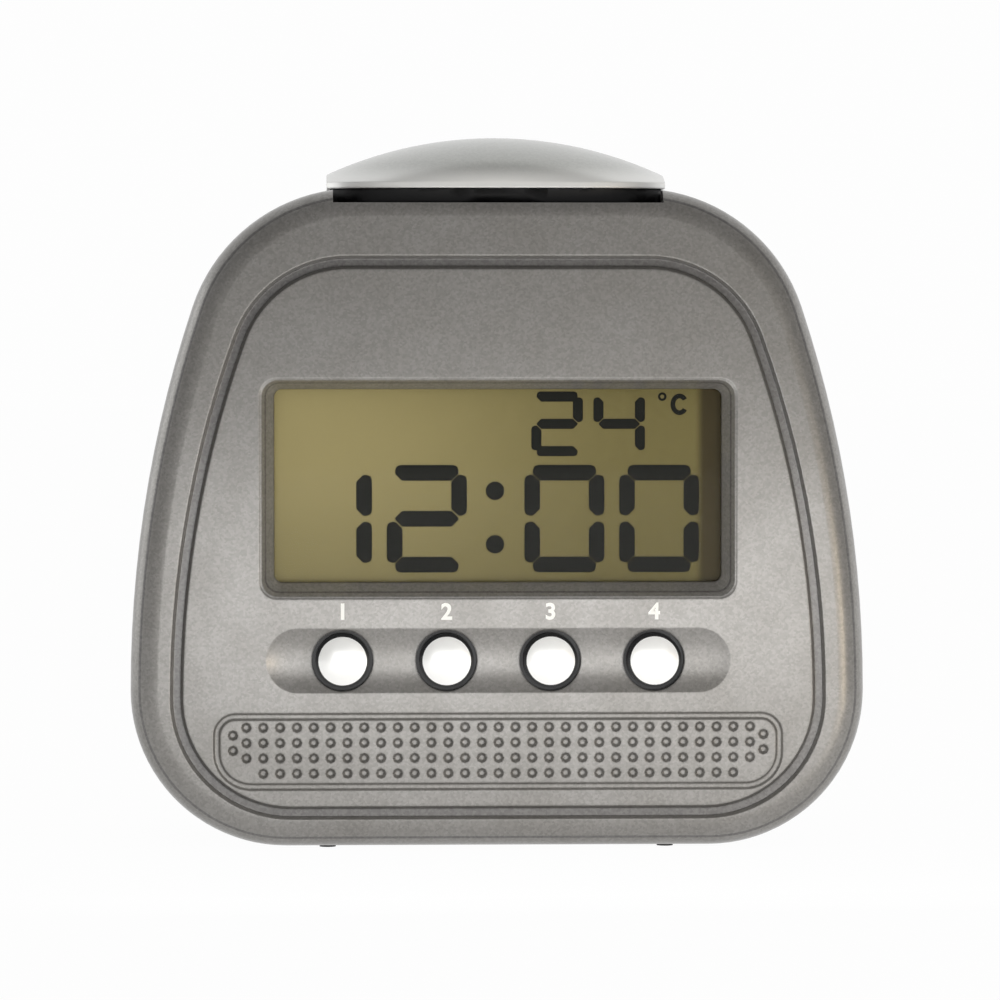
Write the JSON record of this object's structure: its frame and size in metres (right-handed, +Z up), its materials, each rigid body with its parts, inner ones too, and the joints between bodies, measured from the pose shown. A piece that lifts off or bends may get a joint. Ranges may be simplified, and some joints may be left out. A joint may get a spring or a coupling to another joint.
{
  "type": "talking clock",
  "caption": "Small free-standing talking clock with an arched case, a display window, a row of round keys and a large domed button on top.",
  "frame": {"origin": "middle of the footprint, at the level of the feet", "axes": "+Z up, -Y out of the display, +X to the viewer's right"},
  "size_m": [0.085, 0.0432, 0.0827],
  "materials": {
    "case_paint": "satin metallic paint",
    "silver_paint": "silver paint",
    "black_plastic": "moulded",
    "plated_caps": "polished",
    "clear_plastic": "polished",
    "display_glass": "polished",
    "polariser_film": "satin",
    "reflector_foil": "satin",
    "white_plastic": "moulded",
    "grey_rubber": "matt",
    "green_board": "lacquered",
    "black_resin": "satin",
    "zinc_steel": "plated",
    "spring_steel": "drawn",
    "nickel_strip": "plated",
    "cell_jacket": "printed film",
    "can_aluminium": "drawn",
    "ceramic": "glazed",
    "ferrite": "plated",
    "speaker_paper": "matt",
    "wire_sheath": "smooth"
  },
  "bodies": {
    "housing": {"battery_cells": "cell_jacket", "battery_springs": "spring_steel", "battery_wires": "wire_sheath", "board_screws": "zinc_steel", "capacitor": "can_aluminium", "case_screws": "zinc_steel", "chip_cover": "black_resin", "crystal": "can_aluminium", "display_lens": "clear_plastic", "front_case": "case_paint", "front_feet": "grey_rubber", "front_polariser": "polariser_film", "lcd_front_glass": "display_glass", "lcd_holder": "white_plastic", "lcd_rear_glass": "display_glass", "lcd_reflector": "reflector_foil", "link_contact": "nickel_strip", "main_board": "green_board", "negative_contact": "nickel_strip", "positive_contact": "nickel_strip", "rear_case": "case_paint", "rear_feet": "grey_rubber", "resistors": "ceramic", "speaker_cone": "speaker_paper", "speaker_frame": "zinc_steel", "speaker_magnet": "ferrite", "speaker_wires": "wire_sheath", "switch_bodies": "black_plastic", "talk_board": "green_board", "talk_board_screws": "zinc_steel", "talk_springs": "spring_steel", "talk_switch_body": "black_plastic", "talk_wires": "wire_sheath", "thermistor": "ceramic", "zebra_strip": "grey_rubber"},
    "talk_key": {"talk_button_cap": "silver_paint", "talk_button_carrier": "black_plastic", "talk_switch_stem": "white_plastic"},
    "battery_cover": {"battery_door": "case_paint"},
    "mode_key": {"mode_button": "plated_caps", "mode_switch_stem": "black_plastic"},
    "hour_key": {"hour_button": "plated_caps", "hour_switch_stem": "black_plastic"},
    "minute_key": {"minute_button": "plated_caps", "minute_switch_stem": "black_plastic"},
    "format_key": {"format_button": "plated_caps", "format_switch_stem": "black_plastic"}
  },
  "joints": [
    {"name": "talk_press", "type": "slide", "parent": "housing", "child": "talk_key", "axis": [0, 0, -1], "range_m": [0, 0.0015], "stiffness_N_per_m": 250, "springref_m": -0.002, "deforming": ["talk_springs"]},
    {"name": "mode_press", "type": "slide", "parent": "housing", "child": "mode_key", "axis": [0, 1, 0], "range_m": [0, 0.0005], "stiffness_N_per_m": 80, "springref_m": -0.002},
    {"name": "hour_press", "type": "slide", "parent": "housing", "child": "hour_key", "axis": [0, 1, 0], "range_m": [0, 0.0005], "stiffness_N_per_m": 80, "springref_m": -0.002},
    {"name": "minute_press", "type": "slide", "parent": "housing", "child": "minute_key", "axis": [0, 1, 0], "range_m": [0, 0.0005], "stiffness_N_per_m": 80, "springref_m": -0.002},
    {"name": "format_press", "type": "slide", "parent": "housing", "child": "format_key", "axis": [0, 1, 0], "range_m": [0, 0.0005], "stiffness_N_per_m": 80, "springref_m": -0.002},
    {"name": "battery_cover_hinge", "type": "hinge", "parent": "housing", "child": "battery_cover", "pos_m": [0, 0.0205, 0.0113], "axis": [-1, 0, 0], "range_deg": [0, 90]}
  ]
}
